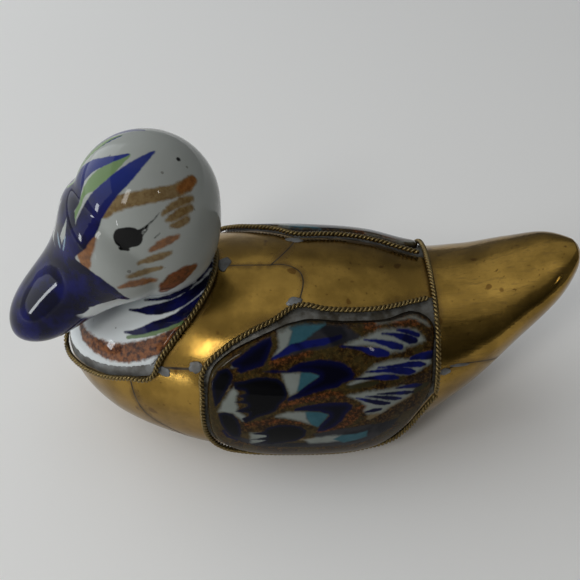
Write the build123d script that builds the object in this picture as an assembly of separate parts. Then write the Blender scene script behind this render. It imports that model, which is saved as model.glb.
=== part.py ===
from build123d import *
import os
from math import cos, radians, sin, tan

# A hollow duck of soldered sheet brass with a glazed ceramic head, breast and wings.
# +Z is up. The duck faces -X and its left side faces -Y. The origin is the middle
# of the flat base. All lengths are in millimetres and all angles in degrees.

# Sheet brass body
body_length = 155.8
breast_reach = 71.5
body_width = 75.0
back_height = 55.0
sheet = 1.2
seam = 0.4
overrun = 20.0

# Each row is one cross section from the breast to the tail: its place along the body,
# its half width, its widest level, its bottom and its top, then how square its upper
# and its lower half are.
station_shares = (
    (0.000, 0.040, 0.436, 0.415, 0.458, 2.00, 2.00),
    (0.008, 0.155, 0.436, 0.338, 0.545, 2.00, 2.00),
    (0.029, 0.320, 0.436, 0.233, 0.682, 2.00, 2.10),
    (0.070, 0.510, 0.441, 0.145, 0.802, 2.00, 2.25),
    (0.130, 0.689, 0.451, 0.066, 0.895, 2.00, 2.40),
    (0.215, 0.830, 0.455, 0.000, 0.960, 2.05, 2.60),
    (0.320, 0.941, 0.455, -0.026, 0.994, 2.10, 2.80),
    (0.430, 0.995, 0.455, -0.033, 1.000, 2.10, 2.80),
    (0.540, 0.985, 0.455, -0.033, 0.990, 2.10, 2.80),
    (0.630, 0.927, 0.477, -0.023, 0.963, 2.10, 2.70),
    (0.720, 0.762, 0.532, 0.042, 0.926, 2.10, 2.45),
    (0.810, 0.622, 0.676, 0.244, 0.973, 2.10, 2.20),
    (0.895, 0.450, 0.874, 0.557, 1.070, 2.20, 2.10),
    (0.955, 0.311, 1.002, 0.800, 1.136, 2.30, 2.10),
    (0.987, 0.160, 1.052, 0.955, 1.148, 2.30, 2.10),
    (1.000, 0.040, 1.073, 1.055, 1.095, 2.00, 2.00),
)
section_points = 12

# Glazed head, bill and breast, one casting
head_radius = 19.7
head_forward = 38.7
head_height = 78.4
head_turn = 22.0
bill_pitch = 34.0
bill_reach = 55.8
ceramic = 4.0
neck_bore = 9.0
neck_sink = 5.4
breast_proud = 0.5

# Each row is one section of the bill: its place along the bill's reach, then its half
# width, its half height and how far it hangs under the head's middle, all of the
# head's radius.
bill_shares = (
    (0.10, 0.930, 0.900, 0.05),
    (0.20, 0.980, 0.930, 0.07),
    (0.30, 0.980, 0.885, 0.10),
    (0.42, 0.840, 0.700, 0.135),
    (0.56, 0.700, 0.550, 0.16),
    (0.70, 0.630, 0.475, 0.175),
    (0.82, 0.555, 0.400, 0.18),
    (0.91, 0.420, 0.300, 0.175),
    (0.97, 0.250, 0.173, 0.175),
    (1.00, 0.074, 0.051, 0.175),
)
head_shoulder_share = 0.62
head_shoulder_depth_share = 0.85

# Where the ceramic breast meets the brass: a slanted line down each side of the neck
# from the back to a corner, then a line round the front
neck_back_forward = 20.3
neck_back_height = 55.6
neck_corner_forward = 39.0
neck_corner_height = 37.7
neck_side_sag = 2.7
neck_front_slope = 20.0
neck_side_gap = 1.1
neck_front_gap = 2.6

# Wing tiles, seen along a line that looks up at them from the side
wing_view = 18.0
wing_front = 24.6
wing_length = 66.6
wing_bottom = -2.8
wing_height = 48.2
tile_thick = 4.0
tile_proud = 1.8
tile_rim = 1.8
wing_band = 1.9
wing_top_shares = ((0.01, 0.700), (0.17, 0.875), (0.30, 0.945), (0.405, 1.000))
wing_ridge_shares = ((0.405, 1.000), (0.70, 0.972), (1.00, 0.985))
wing_rear_shares = ((1.00, 0.985), (1.00, 0.475))
wing_lower_shares = ((1.00, 0.475), (0.93, 0.300), (0.82, 0.080), (0.68, 0.005), (0.44, -0.005),
                     (0.20, 0.005), (0.045, 0.130), (0.000, 0.400), (0.01, 0.700))
# How many points of each stretch the rounded outline of the tile runs through
wing_stops = (4, 5, 4, 10)

# Seams between the brass sheets
fork_forward = 5.7
fork_half_width = 17.0
shoulder_front_height = 39.7
shoulder_rear_height = 42.3
fork_right_shares = ((0.39, 1.00), (0.10, 0.60), (-0.37, 0.30), (-1.00, 0.00))
fork_left_shares = ((-1.00, 0.00), (-0.05, -0.02), (0.53, -0.18), (0.67, -0.38), (0.49, -0.74),
                    (0.39, -1.00))
flank_seam_shares = ((-0.655, 0.680), (-0.648, 0.605), (-0.634, 0.493), (-0.599, 0.378),
                     (-0.527, 0.295), (-0.400, 0.150), (-0.280, -0.020))
keel_top_share = 0.57
tail_side_shares = ((-0.024, 0.640), (0.153, 0.702), (0.288, 0.702), (0.446, 0.649),
                    (0.601, 0.527), (0.685, 0.440))

# Twisted wire trim, as plain round wire
rope = 1.9
rope_stand = 0.4
rope_butt = 0.3
neck_rope_angles = (90, 76, 62, 49, 37, 26)
neck_rope_shares = (0.94, 0.84, 0.73, 0.61, 0.49, 0.37, 0.25, 0.12, 0.0)
tail_rope_foot = 5.0
tail_rope_runs = 16
wing_rope_pitch = 7.5

arc_share = 0.45


tail_reach = body_length - breast_reach
tail_seam_back = wing_length - wing_front
head_depth = head_height - neck_back_height + neck_sink


def smooth(rows, place, column):
    """Value of one column of a table of rows at a place, without overshoot."""
    places = [row[0] for row in rows]
    values = [row[column] for row in rows]
    place = min(max(place, places[0]), places[-1])
    steps = [b - a for a, b in zip(places, places[1:])]
    slopes = [(b - a) / step for a, b, step in zip(values, values[1:], steps)]
    tangents = [slopes[0]]
    for before, after in zip(slopes, slopes[1:]):
        level = before * after <= 0
        tangents.append(0 if level else 2 * before * after / (before + after))
    tangents.append(slopes[-1])
    index = max(i for i in range(len(steps)) if places[i] <= place)
    step = steps[index]
    u = (place - places[index]) / step
    start = values[index] * (1 + 2 * u) + tangents[index] * u * step
    end = values[index + 1] * (3 - 2 * u) - tangents[index + 1] * (1 - u) * step
    return start * (1 - u) ** 2 + end * u ** 2


def section(x, outset=0):
    """Half width, level, rise, drop and the two fullnesses of the body's section at x."""
    place = (x + breast_reach) / body_length
    width, level, bottom, top, upper, lower = (
        smooth(station_shares, place, column) for column in range(1, 7))
    half = width * body_width / 2 + outset
    rise = (top - level) * back_height + outset
    drop = (level - bottom) * back_height + outset
    return half, level * back_height, rise, drop, upper, lower


def skin_point(x, angle, outset=0):
    """Point of the body's surface at x, an angle above the widest level."""
    half, level, rise, drop, upper, lower = section(x, outset)
    c, s = cos(radians(angle)), sin(radians(angle))
    reach, fullness = (rise, upper) if s >= 0 else (drop, lower)
    across = abs(c) ** (2 / fullness) * half * (1 if c >= 0 else -1)
    along = abs(s) ** (2 / fullness) * reach * (1 if s >= 0 else -1)
    return Vector(x, across, level + along)


def outside(point):
    """More than zero where a point lies outside the body's surface."""
    if not -breast_reach <= point.X <= tail_reach:
        return 1
    half, level, rise, drop, upper, lower = section(point.X)
    up = point.Z >= level
    reach, fullness = (rise, upper) if up else (drop, lower)
    return abs(point.Y / half) ** fullness + abs((point.Z - level) / reach) ** fullness - 1


def skin_along(start, step):
    """Where a line from a start point, moving one step a time, meets the surface."""
    near = start
    while outside(near) > 0:
        near = near + step
    far = near - step
    for _ in range(30):
        middle = (near + far) * 0.5
        near, far = (near, middle) if outside(middle) > 0 else (middle, far)
    return near


def over_skin(point, stand):
    """Place that stands off the surface, square to it, from a point of the surface."""
    slopes = [outside(point + axis * sheet) - outside(point - axis * sheet)
              for axis in (Vector(1, 0, 0), Vector(0, 1, 0), Vector(0, 0, 1))]
    return point + Vector(*slopes).normalized() * stand


def body_form(outset=0, ends=0):
    """Solid of the body's outer shape, moved out or in, without its first stations."""
    faces = []
    for row in station_shares[ends:len(station_shares) - ends]:
        x = row[0] * body_length - breast_reach
        points = []
        for k in range(section_points):
            point = skin_point(x, 360 * k / section_points, outset)
            points.append((point.Y, point.Z))
        plane = Plane(origin=(x, 0, 0), x_dir=(0, 1, 0), z_dir=(1, 0, 0))
        faces.append(plane * make_face(Spline(*points, periodic=True)))
    return loft(faces)


side_plane = Plane(origin=(0, 0, 0), x_dir=(1, 0, 0), z_dir=(0, -1, 0))


def side_slab(curve, width):
    """Thin wall over a curve that is drawn in the side view, right across the body."""
    ribbon = trace(curve, line_width=width)
    return extrude(side_plane * ribbon, amount=body_width, both=True)


def side_curve(shares, reach, start=0):
    """Curve in the side view through shares of a reach and of the back's height."""
    return Spline(*[(start + x * reach, z * back_height) for x, z in shares])


def neck_side_x(z):
    """Forward place of the neck's slanted side line at a height."""
    up = (z - neck_corner_height) / (neck_back_height - neck_corner_height)
    run = neck_corner_forward - neck_back_forward
    return run * up - neck_corner_forward - neck_side_sag * 4 * up * (1 - up)


def neck_front_z(x):
    """Height of the neck's front line at a forward place."""
    return neck_corner_height + (x + neck_corner_forward) * tan(radians(neck_front_slope))


def neck_region(side_gap=0, front_gap=0):
    """Everything over the neck's two lines, set back from them by two gaps."""
    low, high = neck_corner_height - overrun, neck_back_height + overrun
    heights = [low + (high - low) * k / 6 for k in range(7)]
    side = [(neck_side_x(z) - side_gap, z) for z in heights]
    far = -breast_reach - overrun
    behind = make_face(Spline(*side) + Polyline(side[-1], (far, high), (far, low), side[0]))
    near = overrun - neck_back_forward
    line = [(near, neck_front_z(near) + front_gap), (far, neck_front_z(far) + front_gap)]
    above = make_face(Polyline(line[0], line[1], (far, high), (near, high), line[0]))
    return extrude(side_plane * (behind & above), amount=body_width, both=True)


# The view of the left wing looks up at it, so its outline is drawn square to that line
wing_out = Vector(0, -cos(radians(wing_view)), sin(radians(wing_view)))
wing_up = Vector(0, sin(radians(wing_view)), cos(radians(wing_view)))


def wing_curves(inset=0):
    """The four stretches of the wing's outline in the wing's own view, set in."""
    length, height = wing_length - 2 * inset, wing_height - 2 * inset
    front, bottom = inset - wing_front, wing_bottom + inset
    curves = []
    for shares in (wing_top_shares, wing_ridge_shares, wing_rear_shares, wing_lower_shares):
        points = [(front + x * length, bottom + v * height) for x, v in shares]
        curves.append(Line(*points) if len(points) == 2 else Spline(*points))
    return curves


def wing_region(inset=0):
    """Everything that the left wing's outline looks along, or, set in, its rounded form."""
    curves = wing_curves(inset)
    outline = curves[0] + curves[1] + curves[2] + curves[3]
    if inset:
        outline = Spline(*[curve @ ((k + 0.5) / count)
                           for curve, count in zip(curves, wing_stops) for k in range(count)],
                         periodic=True)
    start = Plane(origin=wing_out * (body_width / 4), x_dir=(1, 0, 0), z_dir=wing_out)
    return extrude(start * make_face(outline), amount=body_width)


def right(shape):
    """The same shape on the right side."""
    return mirror(shape, about=Plane.XZ)


head_place = Pos(-head_forward, 0, head_height)


def head_form(inset=0):
    """Egg of the head about its own centre, round above and deeper below."""
    radius, depth = head_radius - inset, head_depth - inset
    shoulder = (radius * head_shoulder_share, -depth * head_shoulder_depth_share)
    crown = CenterArc((0, 0), radius, 0, 90)
    cheek = Spline((radius, 0), shoulder, (0, -depth), tangents=((0, -1), (-1, 0)))
    outline = make_face(crown + cheek + Line((0, -depth), (0, radius)))
    return head_place * revolve(Plane.XZ * outline, axis=Axis.Z)


def bill_form():
    """Bill lofted along its own axis, turned to the duck's left and pitched down."""
    turn, pitch = radians(head_turn), radians(bill_pitch)
    forward = Vector(-cos(turn) * cos(pitch), -sin(turn) * cos(pitch), -sin(pitch))
    left = Vector(sin(turn), -cos(turn), 0)
    up = forward.cross(left)
    centre = Vector(-head_forward, 0, head_height)
    rings = []
    for reach, width, height, drop in bill_shares:
        middle = centre + forward * (reach * bill_reach) - up * (drop * head_radius)
        plane = Plane(origin=middle, x_dir=left, z_dir=forward)
        rings.append(plane * Ellipse(width * head_radius, height * head_radius))
    return loft(rings)


def head_ceramic():
    """Head, bill and breast in one hollow casting, open underneath at the neck."""
    breast = body_form(breast_proud) & neck_region(neck_side_gap, neck_front_gap)
    bore_height = head_height - neck_back_height + ceramic
    bore = head_place * Pos(0, 0, -bore_height) * Cylinder(
        neck_bore, bore_height, align=(Align.CENTER, Align.CENTER, Align.MIN))
    hollow = body_form(breast_proud - ceramic, 1)
    return head_form() + bill_form() + breast - head_form(ceramic) - bore - hollow


def wing_tile():
    """Left wing tile, a curved slab that stands a little proud of the brass."""
    slab = body_form(tile_proud) & wing_region(wing_band)
    slab = slab - body_form(tile_proud - tile_thick, 1)
    face = max(slab.faces(), key=lambda face: face.center().dot(wing_out))
    return fillet(face.outer_wire().edges(), radius=tile_rim)


def block(low, high):
    """Box between two corners."""
    size = [b - a for a, b in zip(low, high)]
    return Pos(*low) * Box(*size, align=Align.MIN)


def plan_curve(shares):
    """Curve in plan through shares of the fork's reach and half width."""
    return Spline(*[(x * fork_forward, y * fork_half_width) for x, y in shares])


def back_seams():
    """Walls of the spine, of the fork behind it and of the shoulders' lower edges."""
    spine = block((-neck_back_forward - overrun, -seam / 2, back_height / 2),
                  (-fork_forward + seam / 2, seam / 2, back_height * 2))
    fork = trace(plan_curve(fork_right_shares) + plan_curve(fork_left_shares), line_width=seam)
    fork = extrude(Pos(0, 0, back_height / 2) * fork, amount=back_height)
    edge = Line((-neck_corner_forward - seam, shoulder_front_height),
                (-wing_front + rope, shoulder_rear_height))
    return spine + fork + side_slab(edge, seam)


def tail_seams():
    """Walls of the seam under the tail rope, of the tail's side seams and of the keel."""
    foot = tail_side_shares[0][1] * back_height
    ring = block((tail_seam_back - seam / 2, -body_width, foot),
                 (tail_seam_back + seam / 2, body_width, back_height * 2))
    run = tail_reach - tail_seam_back
    side = side_slab(side_curve(tail_side_shares, run, tail_seam_back), seam)
    keel = block((wing_front, -seam / 2, sheet),
                 (tail_reach, seam / 2, back_height * keel_top_share))
    return ring + side + keel


def brass_sheets(outer):
    """The sheets over the base, in one shape with its holes for head and wings, whole."""
    reach = body_length + overrun
    shell = outer - body_form(-sheet, 1)
    return shell & block((-reach, -reach, sheet), (reach, reach, reach))


def nearest(shape, point):
    """The one of a shape's solids that lies nearest to a point."""
    return min(shape.solids(), key=lambda solid: solid.distance_to(Vertex(*point)))


def wire(points, close=False):
    """Round wire along a route of straight runs and the largest arcs between them."""
    ends = points + points[:2] if close else points
    radii = []
    for before, corner, after in zip(ends, ends[1:], ends[2:]):
        turn = radians((corner - before).get_angle(after - corner))
        run = min((corner - before).length, (after - corner).length)
        radii.append(arc_share * run / tan(turn / 2))
    if close:
        radii = radii[-1:] + radii[:-1]
    path = FilletPolyline(*ends[:len(points)], radius=radii, close=close)
    start = Plane(origin=path @ 0, z_dir=path % 0)
    return sweep(start * Circle(rope / 2), path=path)


def neck_wire():
    """Closed ring of wire over the joint between the ceramic breast and the brass."""
    route = []
    for angle in neck_rope_angles:
        x = -neck_back_forward
        for _ in range(20):
            x = neck_side_x(skin_point(x, angle).Z)
        route.append(skin_point(x, angle))
    corner = route[-1]
    far = -breast_reach - overrun
    step = Vector(1, 0, tan(radians(neck_front_slope)))
    for share in neck_rope_shares:
        start = Vector(far, corner.Y * share, neck_front_z(far))
        route.append(skin_along(start, step))
    side = [over_skin(point, rope / 2 + rope_stand) for point in route]
    side[0].Y = side[-1].Y = 0
    other = [Vector(point.X, -point.Y, point.Z) for point in side[-2:0:-1]]
    return wire(side + other, close=True)


def wing_point(point):
    """Place of the wire over a point of the wing's outline."""
    flat = Vector(point.X, 0, 0) + wing_up * point.Y
    return over_skin(skin_along(flat + wing_out * body_width, wing_out * -1),
                     rope / 2 + rope_stand)


def wing_wire():
    """Wire round the left wing's tile, from the tail seam's top to its foot."""
    top, ridge, _, lower = wing_curves()
    points = []
    for curve in (ridge, top, lower):
        count = round(curve.length / wing_rope_pitch)
        points += [wing_point(curve @ (1 - k / count)) for k in range(count)]
    points[0] = wing_point(ridge @ (1 - (rope + rope_butt) / ridge.length))
    points.append(wing_point(lower @ 0))
    return wire(points)


def tail_wire():
    """Wire over the tail seam, from the foot of one wing to the foot of the other."""
    stand = rope / 2 + rope_stand
    arch = 180 - 2 * tail_rope_foot
    angles = [tail_rope_foot + arch * k / tail_rope_runs for k in range(tail_rope_runs + 1)]
    return wire([over_skin(skin_point(tail_seam_back, angle), stand) for angle in angles])


def save(name, shape):
    """Write one piece, or a group of like solids, under its own name."""
    solids = shape if isinstance(shape, list) else shape.solids()
    piece = solids[0] if len(solids) == 1 else Compound(children=list(solids))
    piece.label = name
    export_step(piece, os.path.join("parts", name + ".step"))


os.makedirs("parts", exist_ok=True)

outer_form = body_form()
neck = neck_region()
wing = wing_region()
reach = body_length + overrun
shell = brass_sheets(outer_form)
sheets = shell - neck - wing - right(wing)
walls = {"back_solder": back_seams(), "tail_solder": tail_seams(),
         "flank_solder": side_slab(side_curve(flank_seam_shares, breast_reach), seam)}
plates = sheets
for name, wall in walls.items():
    save(name, sheets & wall)
    plates = plates - wall

half = body_width / 2
probes = {
    "back_plate": (tail_seam_back / 2, 0, back_height),
    "tail_plate": (tail_reach, 0, back_height),
    "breast_plate": (-breast_reach, 0, back_height / 3),
    "shoulder_plate_left": (-neck_back_forward, -half / 2, back_height),
    "shoulder_plate_right": (-neck_back_forward, half / 2, back_height),
    "flank_plate_left": (-wing_front, -half, back_height / 3),
    "flank_plate_right": (-wing_front, half, back_height / 3),
}
for name, point in probes.items():
    save(name, nearest(plates, point))

save("base_plate", outer_form & block((-reach, -reach, 0), (reach, reach, sheet)))
save("neck_solder", shell & (neck - neck_region(neck_side_gap, neck_front_gap)))
save("head_ceramic", head_ceramic())
save("neck_rope", neck_wire())
save("tail_rope", tail_wire())

for name, shape in (("wing_tile", wing_tile()), ("wing_rope", wing_wire()),
                    ("wing_solder", shell & (wing - wing_region(wing_band)))):
    save(name + "_left", shape)
    save(name + "_right", right(shape))
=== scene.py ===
from math import cos, pi, radians, sin

import bmesh
import bpy
import numpy as np
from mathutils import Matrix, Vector, bvhtree, kdtree, noise


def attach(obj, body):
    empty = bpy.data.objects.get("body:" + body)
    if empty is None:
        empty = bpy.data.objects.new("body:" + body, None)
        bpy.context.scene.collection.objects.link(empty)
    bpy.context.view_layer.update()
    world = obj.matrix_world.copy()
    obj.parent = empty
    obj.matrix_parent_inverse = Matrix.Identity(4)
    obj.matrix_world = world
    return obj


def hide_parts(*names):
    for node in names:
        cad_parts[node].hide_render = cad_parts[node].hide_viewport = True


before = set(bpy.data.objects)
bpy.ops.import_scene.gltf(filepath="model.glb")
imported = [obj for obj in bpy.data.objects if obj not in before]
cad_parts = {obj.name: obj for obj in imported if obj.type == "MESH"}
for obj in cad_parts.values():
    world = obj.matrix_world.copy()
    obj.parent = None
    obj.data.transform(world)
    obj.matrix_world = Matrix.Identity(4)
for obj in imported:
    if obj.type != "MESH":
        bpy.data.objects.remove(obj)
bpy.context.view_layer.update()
mm = 0.001


# The table and the daylight. The duck stands on a plain pale cloth-coloured surface. A broad
# window beyond its bill and one over its far side light it, with small weak lights in front.

def soft_light(name, bearing, height, distance, size, power, colour):
    """Lamp that looks at the duck from a bearing and a height in degrees."""
    data = bpy.data.lights.new(name, "AREA")
    data.shape = "RECTANGLE"
    data.size, data.size_y = size
    data.energy = power
    data.color = colour
    lamp = bpy.data.objects.new(name, data)
    across = cos(radians(height))
    away = Vector((across * cos(radians(bearing)), across * sin(radians(bearing)),
                   sin(radians(height))))
    lamp.location = away * distance + Vector((0, 0, 0.04))
    lamp.rotation_euler = away.to_track_quat("Z", "Y").to_euler()
    bpy.context.scene.collection.objects.link(lamp)


soft_light("window_left", 166, 26, 1.0, (1.5, 0.8), 5.0, (0.93, 0.97, 1.0))
soft_light("window_pane", -161, 9, 1.0, (0.09, 0.15), 0.85, (0.94, 0.98, 1.0))
soft_light("window_high", 86, 64, 1.0, (1.3, 1.0), 0.95, (0.95, 0.98, 1.0))
soft_light("window_front", -122, 44, 0.8, (0.09, 0.28), 1.1, (1.0, 0.98, 0.94))
soft_light("window_low", -128, 4, 0.9, (0.02, 0.12), 0.14, (0.95, 0.97, 1.0))
soft_light("lamp_right", -52, 50, 0.8, (0.02, 0.06), 0.09, (1.0, 0.97, 0.92))

# The room: brighter overhead and towards the window, darker behind the place of the eye.
world = bpy.data.worlds.new("room")
bpy.context.scene.world = world
world.use_nodes = True
room = world.node_tree
look = room.nodes.new("ShaderNodeTexCoord").outputs["Generated"]


def toward(way, low, high, first, last):
    """How far a look into the room lies toward a direction, as a run between two values."""
    share = room.nodes.new("ShaderNodeVectorMath")
    share.operation = "DOT_PRODUCT"
    room.links.new(look, share.inputs[0])
    share.inputs[1].default_value = way
    run = room.nodes.new("ShaderNodeMapRange")
    run.interpolation_type = "SMOOTHSTEP"
    room.links.new(share.outputs["Value"], run.inputs["Value"])
    for name, value in zip(("From Min", "From Max", "To Min", "To Max"),
                           (low, high, first, last)):
        run.inputs[name].default_value = value
    return run.outputs["Result"]


def join(kind, first, second):
    """Two brightnesses of the room joined by a sum of one kind."""
    both = room.nodes.new("ShaderNodeMath")
    both.operation = kind
    room.links.new(first, both.inputs[0])
    room.links.new(second, both.inputs[1])
    return both.outputs[0]


window_side = toward((-0.94, 0.0, 0.34), -0.2, 1.0, 0.13, 0.54)
overhead = toward((-0.10, 0.10, 0.99), 0.93, 0.985, 0.0, 0.20)
behind_eye = toward((0.10, -0.77, 0.63), 0.82, 0.88, 1.0, 0.38)
bright = join("MULTIPLY", join("ADD", window_side, overhead), behind_eye)

# The eye itself sees a plain pale backdrop in place of the room.
backdrop = room.nodes.new("ShaderNodeMath")
backdrop.operation = "MULTIPLY"
room.links.new(room.nodes.new("ShaderNodeLightPath").outputs["Is Camera Ray"], backdrop.inputs[0])
backdrop.inputs[1].default_value = 0.6
bright = join("MAXIMUM", bright, backdrop.outputs[0])
room.links.new(bright, room.nodes["Background"].inputs["Strength"])
room.nodes["Background"].inputs["Color"].default_value = (0.98, 1.0, 1.02, 1)

floor_mesh = bpy.data.meshes.new("floor")
form = bmesh.new()
bmesh.ops.create_grid(form, x_segments=1, y_segments=1, size=3.0)
form.to_mesh(floor_mesh)
form.free()
floor = bpy.data.objects.new("floor", floor_mesh)
bpy.context.scene.collection.objects.link(floor)
floor_finish = bpy.data.materials.new("pale_cloth")
floor_finish.use_nodes = True
cloth = floor_finish.node_tree.nodes["Principled BSDF"]
cloth.inputs["Base Color"].default_value = (0.90, 0.89, 0.87, 1)
cloth.inputs["Roughness"].default_value = 0.9

# Far from the duck the surface stays as pale to the eye, and in the gloss, as it is near it.
cloth_nodes, cloth_links = floor_finish.node_tree.nodes, floor_finish.node_tree.links
away_from_duck = cloth_nodes.new("ShaderNodeVectorMath")
away_from_duck.operation = "LENGTH"
cloth_links.new(cloth_nodes.new("ShaderNodeTexCoord").outputs["Object"], away_from_duck.inputs[0])
far_glow = cloth_nodes.new("ShaderNodeMapRange")
far_glow.interpolation_type = "SMOOTHSTEP"
cloth_links.new(away_from_duck.outputs["Value"], far_glow.inputs["Value"])
for name, value in zip(("From Min", "From Max", "To Max"), (0.30, 1.3, 0.30)):
    far_glow.inputs[name].default_value = value
ray = cloth_nodes.new("ShaderNodeLightPath")
seen = cloth_nodes.new("ShaderNodeMath")
seen.operation = "MAXIMUM"
cloth_links.new(ray.outputs["Is Camera Ray"], seen.inputs[0])
cloth_links.new(ray.outputs["Is Glossy Ray"], seen.inputs[1])
glow = cloth_nodes.new("ShaderNodeMath")
glow.operation = "MULTIPLY"
cloth_links.new(far_glow.outputs["Result"], glow.inputs[0])
cloth_links.new(seen.outputs[0], glow.inputs[1])
cloth_links.new(glow.outputs[0], cloth.inputs["Emission Strength"])
cloth.inputs["Emission Color"].default_value = (0.98, 0.99, 1.0, 1)
floor_mesh.materials.append(floor_finish)

eye_place = Vector((0, -0.1499, 0.1944))
eye_tilt = radians(45)
eye = bpy.data.cameras.new("camera")
eye.lens = 42.83
eye.sensor_width = 36.0
camera = bpy.data.objects.new("camera", eye)
camera.location = eye_place
camera.rotation_euler = (eye_tilt, 0, 0)
bpy.context.scene.collection.objects.link(camera)
bpy.context.scene.camera = camera
bpy.context.scene.view_settings.view_transform = "Standard"


# The sheet brass. Thin sheet is beaten to the duck's shape, cut into plates and soldered
# edge to edge. It is old: yellow where it is rubbed, brown and dull beside the solder.

class Finish:
    """A surface finish: its material, and short calls that add nodes to it."""

    def __init__(self, name, metallic=0.0, roughness=0.5):
        self.material = bpy.data.materials.new(name)
        self.material.use_nodes = True
        self.tree = self.material.node_tree
        self.shader = self.tree.nodes["Principled BSDF"]
        self.shader.inputs["Metallic"].default_value = metallic
        self.shader.inputs["Roughness"].default_value = roughness
        self.place = self.add("TexCoord").outputs["Object"]

    def add(self, kind, values=None, **settings):
        """New node, with its settings and its inputs as numbers or as joined outputs."""
        node = self.tree.nodes.new("ShaderNode" + kind)
        for name, value in settings.items():
            setattr(node, name, value)
        for name, value in (values or {}).items():
            if isinstance(value, bpy.types.NodeSocket):
                self.tree.links.new(value, node.inputs[name])
            else:
                node.inputs[name].default_value = value
        return node

    def set(self, name, value):
        """Join an output to one of the shader's sockets."""
        self.tree.links.new(value, self.shader.inputs[name])

    def grain(self, per_mm, detail=3.0, rough=0.55, stretch=(1, 1, 1), shift=0.0):
        """Noise with a number of grains in each millimetre, drawn out along some axes."""
        spread = self.add("Mapping", {"Vector": self.place, "Scale": stretch,
                                      "Location": (shift, shift, shift)})
        return self.add("TexNoise", {"Vector": spread.outputs["Vector"], "Scale": per_mm / mm,
                                     "Detail": detail, "Roughness": rough}).outputs["Fac"]

    def reach(self, value, low, high, first=0.0, last=1.0):
        """A value's run from low to high, eased, as a run between two others."""
        return self.add("MapRange", {"Value": value, "From Min": low, "From Max": high,
                                     "To Min": first, "To Max": last},
                        interpolation_type="SMOOTHSTEP").outputs["Result"]

    def sum(self, kind, first, second):
        """Two values joined by a sum of one kind."""
        return self.add("Math", {0: first, 1: second}, operation=kind).outputs[0]

    def mix(self, share, first, second):
        """Two colours mixed by a share."""
        return self.add("Mix", {"Factor": share, 6: first, 7: second},
                        data_type="RGBA").outputs[2]

    def layer(self, name):
        """Value that a piece's vertices carry under a name."""
        return self.add("Attribute", attribute_name=name).outputs["Fac"]

    def bump(self, *heights):
        """Small relief: pairs of a height and its depth in metres, one over another."""
        normal = None
        for height, depth in heights:
            values = {"Height": height, "Distance": depth, "Strength": 1.0}
            if normal:
                values["Normal"] = normal
            normal = self.add("Bump", values).outputs["Normal"]
        self.set("Normal", normal)


def colour(red, green, blue):
    """A colour as paint is named, out of 255, as the shader needs it."""
    steps = [part / 255 for part in (red, green, blue)]
    return tuple(s / 12.92 if s <= 0.04045 else ((s + 0.055) / 1.055) ** 2.4
                 for s in steps) + (1,)


def brass_finish(name, stretch, scratches, shine):
    """Aged brass sheet: clouds of tarnish, brown by the seams, pits, fine scratches, and painted shade
    towards the bottom.
    """
    brass = Finish(name, metallic=1.0)
    cloud = brass.grain(0.09, 5, 0.6)
    fine = brass.grain(1.1, 4, 0.7, shift=0.3)
    near = brass.layer("seam")
    edge = brass.reach(brass.sum("ADD", near, brass.sum("MULTIPLY", cloud, 5.0)), 2.2, 4.8)
    rubbed = brass.mix(brass.reach(cloud, 0.35, 0.65), colour(132, 104, 48),
                       colour(162, 129, 62))
    dull = brass.mix(fine, colour(98, 77, 40), colour(132, 104, 56))
    tone = brass.mix(edge, dull, rubbed)
    lines = brass.grain(0.9, 3, 0.6, stretch=stretch, shift=0.6)
    tone = brass.mix(brass.reach(lines, 0.52, 0.68, 0.0, 10 * scratches), tone, dull)
    speck = brass.reach(brass.grain(0.8, 2, 0.5, shift=0.8), 0.685, 0.72)
    tone = brass.mix(brass.sum("MULTIPLY", speck, 0.75), tone, colour(86, 58, 24))
    spot = brass.reach(brass.grain(0.16, 1, 0.4, shift=1.7), 0.695, 0.72)
    tone = brass.mix(brass.sum("MULTIPLY", spot, 0.7), tone, colour(92, 62, 26))
    # Painted shade: below 34 mm the brass is mixed part way to the dull tone, most at 10 mm and under,
    # as shade near the table.
    low = brass.reach(brass.add("SeparateXYZ", {0: brass.place}).outputs["Z"],
                      10 * mm, 34 * mm, 0.55, 0.0)
    tone = brass.mix(low, tone, dull)
    brass.set("Base Color", tone)
    rough = brass.sum("ADD", brass.reach(edge, 0, 1, shine + 0.16, shine),
                      brass.sum("MULTIPLY", fine, 0.10))
    brass.set("Roughness", rough)
    wave = brass.grain(0.045, 2, 0.5, shift=2.2)
    brass.bump((wave, 0.8 * mm), (lines, scratches * mm), (fine, 0.010 * mm))
    return brass.material


def new_piece(name, mesh, material, slot_name, *nodes):
    """Put a finished mesh in the scene as a piece of the duck that stands for its nodes."""
    mesh.name = name
    mesh.materials.clear()
    mesh.materials.append(material)
    piece = bpy.data.objects.new(name, mesh)
    bpy.context.scene.collection.objects.link(piece)
    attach(piece, "root")
    if nodes:
        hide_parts(*nodes)


def places(mesh):
    """A mesh's vertices as rows of millimetres."""
    rows = np.zeros(len(mesh.vertices) * 3, np.float32)
    mesh.vertices.foreach_get("co", rows)
    return rows.reshape(-1, 3).astype(float) / mm


def carry(mesh, name, values):
    """Give a mesh's vertices a value each, under a name that its finish reads."""
    layer = mesh.attributes.new(name, "FLOAT", "POINT")
    layer.data.foreach_set("value", np.asarray(values, np.float32))


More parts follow.
